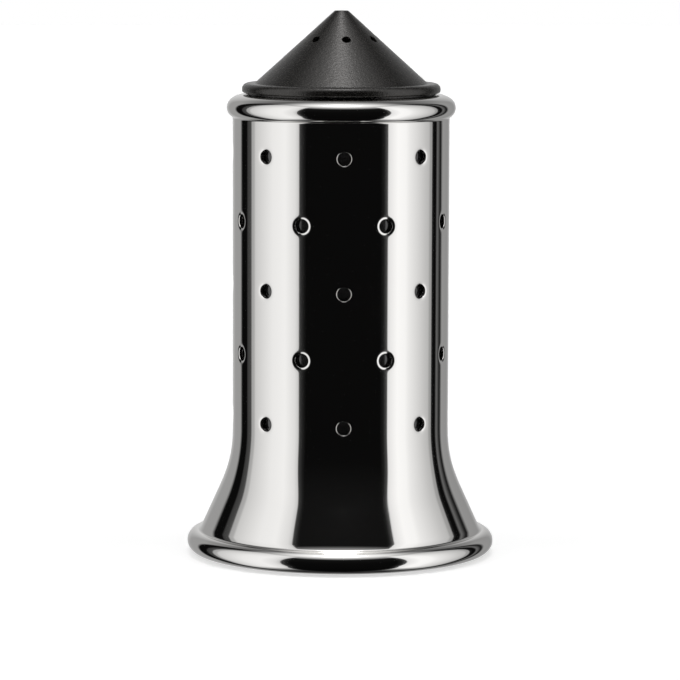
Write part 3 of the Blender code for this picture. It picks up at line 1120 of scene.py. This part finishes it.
    def build(self) -> bpy.types.Object:
        """Turns the profile and tiles the cone's middle band with pour holes.

        Returns:
            The cap's object.
        """
        skin = Skin()
        phase = FRONT + self.pour_turn
        profile = [*self.cone(), *rounded(self.rim_and_spigot(), closed=False)]
        turn_onto(skin, profile, self.steps_per_hole * self.pour_holes, phase)
        punch = Punch(
            self.pour_radius,
            self.pour_edge,
            self.pour_edge,
            self.wall,
            roll_rings=self.pour_roll_rings,
            field_rings=self.pour_field_rings,
        )
        for hole in range(self.pour_holes):
            angle = phase + hole * 360.0 / self.pour_holes
            punch.cut(skin, self.pour_border(), self.cone_point(angle))
        return skin.build("charcoal_cap")

    def dress(self) -> None:
        """Builds the cap and sets it on its body."""
        settle(self.build(), CAP_PLASTIC, Body.CAP, "cone_cap")


@dataclass(frozen=True)
class SealRing:
    """The soft ring in the spigot's groove."""

    outer_radius: float
    height: float
    section: float = 1.3

    def dress(self) -> None:
        """Turns the ring from a full circle and sets it on its body."""
        half = self.section / 2
        ring = turned("soft_seal_ring", [arc((self.outer_radius - half, self.height), half, 90.0, -270.0)])
        settle(ring, SEAL_SILICONE, Body.SEAL, "cap_seal_ring")


@dataclass(frozen=True)
class Base:
    """What closes the foot: plate, soft foot ring, washer and screw."""

    plate_radius: float
    plate_high: float
    ring_outer: float
    ring_top: float
    ring_width: float = 2.8
    skirt_low: float = 1.0
    rib_low: float = 1.5
    web: float = 1.8
    gap: float = 0.3
    skirt_wall: float = 0.75
    rib_wall: float = 0.6
    locating_outer: float = 18.12
    locating_wall: float = 1.5
    screw_bore: float = 1.8
    ring_top_edge: float = 0.2
    ring_foot_edge: float = 0.4
    washer_radius: float = 4.5
    washer_thickness: float = 0.5
    washer_edge: float = 0.08
    washer_low_edge: float = 0.12
    screw_radius: float = 1.5
    screw_length: float = 9.4
    head_radius: float = 3.8
    head_height: float = 1.8
    head_round: float = 0.7
    head_edge: float = 0.15
    socket_radius: float = 1.45
    socket_depth: float = 1.1
    socket_land: float = 0.4
    tip_bevel: float = 0.5
    tip_round: float = 0.1
    thread_pitch: float = 0.8
    thread_depth: float = 0.22
    thread_rows: int = 140
    nudge: float = 1e-9

    def ring_inner(self) -> float:
        """The soft ring's inner radius."""
        return self.ring_outer - self.ring_width

    def plate(self) -> None:
        """Turns the plate: locating ring above, channel for the soft ring below.

        Each corner's last number is its own rounding.
        """
        web_low = self.ring_top + self.gap
        web_high = web_low + self.web
        channel_outer, channel_inner = self.ring_outer + self.gap, self.ring_inner() - self.gap
        skirt, rib = channel_outer + self.skirt_wall, channel_inner - self.rib_wall
        inside = self.locating_outer - self.locating_wall
        outline = [
            (self.screw_bore, web_high, 0.2),
            (inside, web_high, 0.4),
            (inside, self.plate_high, 0.3),
            (self.locating_outer, self.plate_high, 0.5),
            (self.locating_outer, web_high, 0.3),
            (self.plate_radius, web_high, 0.3),
            (self.plate_radius, web_low, 0.2),
            (skirt, web_low, 0.15),
            (skirt, self.skirt_low, 0.25),
            (channel_outer, self.skirt_low, 0.2),
            (channel_outer, web_low, 0.15),
            (channel_inner, web_low, 0.15),
            (channel_inner, self.rib_low, 0.15),
            (rib, self.rib_low, 0.2),
            (rib, web_low, 0.5),
            (self.screw_bore, web_low, 0.2),
        ]
        plate = turned("black_base_plate", rounded(outline, closed=True))
        settle(plate, BASE_PLASTIC, Body.SHAKER, "base_plate")

    def foot_ring(self) -> None:
        """Turns the soft ring that the shaker stands on."""
        outline = [
            (self.ring_inner(), self.ring_top, self.ring_top_edge),
            (self.ring_outer, self.ring_top, self.ring_top_edge),
            (self.ring_outer, 0.0, self.ring_foot_edge),
            (self.ring_inner(), 0.0, self.ring_foot_edge),
        ]
        ring = turned("soft_foot_ring", rounded(outline, closed=True))
        settle(ring, FOOT_SILICONE, Body.SHAKER, "foot_ring")

    def washer(self) -> None:
        """Turns the flat washer under the screw's head."""
        high = self.ring_top
        low = high - self.washer_thickness
        outline = [
            (self.screw_bore, high, self.washer_edge),
            (self.washer_radius, high, self.washer_edge),
            (self.washer_radius, low, self.washer_low_edge),
            (self.screw_bore, low, self.washer_edge),
        ]
        washer = turned("flat_washer", rounded(outline, closed=True), SMALL_TURN_STEPS)
        settle(washer, FASTENER, Body.SHAKER, "screw_washer")

    def hexagon(self, steps: int) -> Array:
        """Distance from the axis to the socket's hexagon: radius * cos 30 / cos(angle within its side)."""
        within = np.mod(np.linspace(0.0, 2 * np.pi, steps, endpoint=False), np.pi / 3) - np.pi / 6
        return self.socket_radius * math.cos(math.pi / 6) / np.cos(within)

    def screw(self) -> None:
        """Builds the screw: threaded shank, rounded head and hexagon socket.

        The thread's radius is shank radius - depth * |2 * frac(z / pitch - angle / 360) - 1|, faded out at
        both ends of the shank. The nudge keeps the socket's corners on the side that starts there.
        """
        steps = SMALL_TURN_STEPS - SMALL_TURN_STEPS % 6
        seat = self.ring_top - self.washer_thickness - self.gap
        low, top = seat - self.head_height, seat + self.screw_length
        skin = Skin()

        angle = np.linspace(0.0, 2 * np.pi, steps, endpoint=False)
        end = top - self.tip_bevel
        z = np.linspace(seat, end, self.thread_rows)[:, None]
        phase = np.mod(z / self.thread_pitch - angle / (2 * np.pi), 1.0)
        fade = np.clip(np.minimum(z - seat, end - z) / self.thread_pitch, 0.0, 1.0)
        radius = self.screw_radius - self.thread_depth * fade * np.abs(2.0 * phase - 1.0)
        radial, _ = compass(angle)
        shank = radius[..., None] * radial + z[..., None] * UP
        tilt = -np.gradient(radius, z[:, 0], axis=0)
        skin.patch(shank, radial + tilt[..., None] * UP)

        land = self.socket_radius + self.socket_land
        point = [
            (0.0, top, 0.0),
            (self.screw_radius - self.tip_bevel, top, self.tip_round),
            (self.screw_radius, end, 0.0),
        ]
        head = [
            (self.screw_radius, seat, 0.0),
            (self.head_radius, seat, self.head_edge),
            (self.head_radius, low, self.head_round),
            (land, low, 0.0),
        ]
        turn_onto(skin, rounded(point, closed=False) + rounded(head, closed=False), steps)

        edge = self.hexagon(steps)
        down = np.broadcast_to(-UP, (2, steps, 3))
        rings = np.stack([np.full(steps, land), edge])[..., None] * radial
        skin.patch(rings + low * UP, down)
        floor = low + self.socket_depth
        walls = edge[:, None] * radial + np.stack([low * UP, floor * UP])[:, None]
        side = np.floor(angle / (np.pi / 3) + self.nudge) * np.pi / 3 + np.pi / 6
        outward, _ = compass(side)
        skin.patch(walls, np.broadcast_to(-outward, (2, steps, 3)))
        rings = np.stack([edge, 0.0 * edge])[..., None] * radial
        skin.patch(rings + floor * UP, down)
        settle(skin.build("socket_screw"), FASTENER, Body.SHAKER, "base_screw")

    def dress(self) -> None:
        """Builds the four pieces and sets them on the shaker."""
        self.plate()
        self.foot_ring()
        self.washer()
        self.screw()


@dataclass(frozen=True)
class Sweep:
    """Light strength by angle: stops of (degrees, strength), read between a first and a last angle."""

    first: float
    last: float
    stops: tuple[tuple[float, float], ...]

    def level(self, graph: Graph, angle: Socket) -> Socket:
        """Adds the ramp to a tree.

        Args:
            graph: The tree.
            angle: The angle in degrees.

        Returns:
            The strength's socket.
        """
        top = max(level for _, level in self.stops)
        place = graph.add("ShaderNodeMapRange", {0: angle, 1: self.first, 2: self.last, 3: 0.0, 4: 1.0})
        ramp = graph.add("ShaderNodeValToRGB", {0: place.outputs[0]})
        made = ramp.color_ramp.elements
        for i, (degrees, level) in enumerate(self.stops):
            position = (degrees - self.first) / (self.last - self.first)
            stop = made[i] if i < 2 else made.new(position)
            stop.position = position
            stop.color = (level / top,) * 3 + (1.0,)
        return graph.math("MULTIPLY", ramp.outputs[0], top)


LEFT_LIGHT = Sweep(
    30.0,
    180.0,
    (
        (38.0, 0.001), (42.0, 0.015), (46.3, 0.06), (47.0, 0.70), (51.0, 0.90), (63.0, 1.09),
        (79.0, 1.02), (104.7, 0.715), (107.0, 0.49), (111.0, 0.45), (112.5, 0.08), (119.0, 0.05),
        (121.0, 0.001), (132.0, 0.001), (136.5, 0.38), (155.0, 0.37), (180.0, 0.70),
    ),
)
RIGHT_LIGHT = Sweep(
    30.0,
    180.0,
    (
        (40.0, 0.001), (45.0, 0.015), (48.9, 0.10), (49.6, 0.95), (61.0, 1.20), (71.0, 1.15),
        (76.0, 1.02), (99.5, 0.66), (105.6, 0.59), (107.4, 0.42), (111.0, 0.38), (112.0, 0.02),
        (116.0, 0.001), (119.5, 0.001), (122.6, 0.16), (128.0, 0.03), (131.0, 0.005),
        (136.0, 0.35), (155.0, 0.31), (180.0, 0.70),
    ),
)
SIDE_REACH = Sweep(
    -90.0,
    90.0,
    (
        (-90.0, 0.03), (-72.0, 0.05), (-64.0, 0.3), (-56.0, 0.85), (-50.0, 1.0), (30.0, 1.0),
        (56.0, 0.9), (66.0, 0.3), (90.0, 0.3),
    ),
)
BACK_REACH = Sweep(
    -90.0,
    90.0,
    (
        (-90.0, 0.1), (-75.0, 0.12), (-60.0, 0.35), (-35.0, 1.0), (26.0, 1.0), (52.0, 0.38),
        (60.0, 0.3), (90.0, 0.3),
    ),
)
TOP_LIGHT = Sweep(
    -90.0,
    90.0,
    (
        (-90.0, 0.002), (13.0, 0.004), (46.0, 0.008), (48.0, 0.05), (52.0, 0.15), (60.0, 0.45),
        (69.0, 0.9), (76.0, 1.15), (79.0, 1.4), (81.0, 4.8), (90.0, 6.0),
    ),
)


@dataclass(frozen=True)
class Studio:
    """White floor, white surround, and the soft boxes and dark screens that the steel mirrors."""

    floor_colour: Triple = (0.86, 0.86, 0.86)
    floor_lift: float = 0.50
    floor_half: float = 3.0
    slant_below: float = -38.0
    slant: float = 0.45
    back_from: float = 116.0
    back_full: float = 130.0
    top_lean: float = 6.0

    def floor(self) -> None:
        """A wide pale floor; to the camera it is lifted to white, and it keeps the shaker's shadow."""
        reach = self.floor_half
        mesh = bpy.data.meshes.new("pale_floor")
        corners = [(-reach, -reach, 0.0), (reach, -reach, 0.0), (reach, reach, 0.0), (-reach, reach, 0.0)]
        mesh.from_pydata(corners, [], [(0, 1, 2, 3)])
        floor = bpy.data.objects.new("pale_floor", mesh)
        bpy.context.scene.collection.objects.link(floor)
        floor.visible_glossy = False
        pale = bpy.data.materials.new("pale_floor")
        pale.use_nodes = True
        graph = Graph(pale.node_tree)
        path = graph.add("ShaderNodeLightPath")
        lift = graph.math("MULTIPLY", path.outputs["Is Camera Ray"], self.floor_lift)
        matte = graph.add("ShaderNodeBsdfDiffuse", {"Color": (*self.floor_colour, 1.0)})
        glow = graph.add("ShaderNodeEmission", {"Strength": lift})
        both = graph.add("ShaderNodeAddShader", {0: matte.outputs[0], 1: glow.outputs[0]})
        graph.add("ShaderNodeOutputMaterial", {"Surface": both.outputs[0]})
        mesh.materials.append(pale)

    def surround(self) -> None:
        """The world: white to the camera, and soft boxes and screens by direction to everything else."""
        world = bpy.data.worlds.new("studio")
        bpy.context.scene.world = world
        world.use_nodes = True
        world.cycles.sampling_method = "NONE"
        graph = Graph(world.node_tree)
        way = graph.add("ShaderNodeTexCoord").outputs["Generated"]
        x, y, z = graph.add("ShaderNodeSeparateXYZ", {0: way}).outputs
        turn = graph.math("DEGREES", graph.math("ARCTAN2", x, graph.math("MULTIPLY", y, -1.0)))
        aside = graph.math("ABSOLUTE", turn)
        height = graph.math("DEGREES", graph.math("ARCSINE", z))
        on_right = graph.math("GREATER_THAN", x, 0.0)
        under = graph.math("MAXIMUM", graph.math("SUBTRACT", self.slant_below, height), 0.0)
        aside = graph.math("SUBTRACT", aside, graph.math("MULTIPLY", under, self.slant))
        sides = graph.blend(on_right, LEFT_LIGHT.level(graph, aside), RIGHT_LIGHT.level(graph, aside))
        ends = {0: aside, 1: self.back_from, 2: self.back_full, 3: 0.0, 4: 1.0}
        behind = graph.add("ShaderNodeMapRange", ends).outputs[0]
        reach = graph.blend(behind, SIDE_REACH.level(graph, height), BACK_REACH.level(graph, height))
        sides = graph.math("MULTIPLY", sides, reach)
        lean = math.radians(self.top_lean)
        upward = graph.math("MULTIPLY", z, math.cos(lean))
        upward = graph.math("SUBTRACT", upward, graph.math("MULTIPLY", y, math.sin(lean)))
        overhead = graph.math("DEGREES", graph.math("ARCSINE", upward))
        light = graph.math("MAXIMUM", sides, TOP_LIGHT.level(graph, overhead))
        to_camera = graph.add("ShaderNodeLightPath").outputs["Is Camera Ray"]
        seen = graph.blend(to_camera, light, 1.0)
        sky = graph.add("ShaderNodeBackground", {"Color": (1.0, 1.0, 1.0, 1.0), "Strength": seen})
        graph.add("ShaderNodeOutputWorld", {"Surface": sky.outputs[0]})

    def build(self) -> None:
        """Lays the floor and lights the studio."""
        self.floor()
        self.surround()
        bpy.context.scene.view_settings.view_transform = "Standard"


@dataclass(frozen=True)
class Viewpoint:
    """The photograph's camera: far off, a little above the shaker, almost square to a column of holes."""

    distance: float = 748.6
    elevation: float = 6.668
    azimuth: float = -1.696
    roll: float = 0.17
    target_height: float = 41.8
    target_side: float = -0.11
    focal_pixels: float = 3827.3
    image_width: float = 680.0
    sensor: float = 36.0
    clip_end: float = 20.0

    def build(self) -> None:
        """Makes the camera and looks through it."""
        data = bpy.data.cameras.new("photo_camera")
        data.sensor_fit = "HORIZONTAL"
        data.sensor_width = self.sensor
        data.lens = self.focal_pixels / self.image_width * self.sensor
        data.clip_end = self.clip_end
        camera = bpy.data.objects.new("photo_camera", data)
        rise, turn = math.radians(self.elevation), math.radians(self.azimuth)
        away = np.array([math.sin(turn) * math.cos(rise), -math.cos(turn) * math.cos(rise), math.sin(rise)])
        aside = self.target_side * np.array([math.cos(turn), math.sin(turn), 0.0])
        camera.location = (self.target_height * UP + aside + self.distance * away) * MM
        level = Euler((math.pi / 2 - rise, 0.0, turn)).to_quaternion()
        tilt = Quaternion((0.0, 0.0, 1.0), math.radians(self.roll))
        camera.rotation_euler = (level @ tilt).to_euler()
        bpy.context.scene.collection.objects.link(camera)
        bpy.context.scene.camera = camera


def corner(node: str) -> Triple:
    """A turned node's outer radius, lowest and highest points, in millimetres."""
    low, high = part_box(node)
    return high.x / MM, low.z / MM, high.z / MM


def main() -> None:
    logging.basicConfig(level=logging.INFO, format="%(message)s")
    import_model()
    Viewpoint().build()
    Studio().build()

    foot_radius, _, _ = corner("perforated_sleeve")
    container_radius, container_foot, container_top = corner("salt_container")
    seal_radius, seal_low, seal_high = corner("cap_seal_ring")
    _, cap_low, _ = corner("cone_cap")
    plate_radius, _, plate_high = corner("base_plate")
    ring_radius, _, ring_top = corner("foot_ring")

    tube_radius = container_radius + CONTAINER_GAP + PerforatedSleeve.sheet
    spigot_radius = container_radius - SaltContainer.wall - CAP_GAP
    PerforatedSleeve(tube_radius, foot_radius).dress()
    SaltContainer(container_radius, container_top, container_foot).dress()
    ConeCap(spigot_radius, cap_low + ConeCap.spigot_length).dress()
    SealRing(seal_radius, (seal_low + seal_high) / 2).dress()
    Base(plate_radius, plate_high, ring_radius, ring_top).dress()


if __name__ == "__main__":
    main()
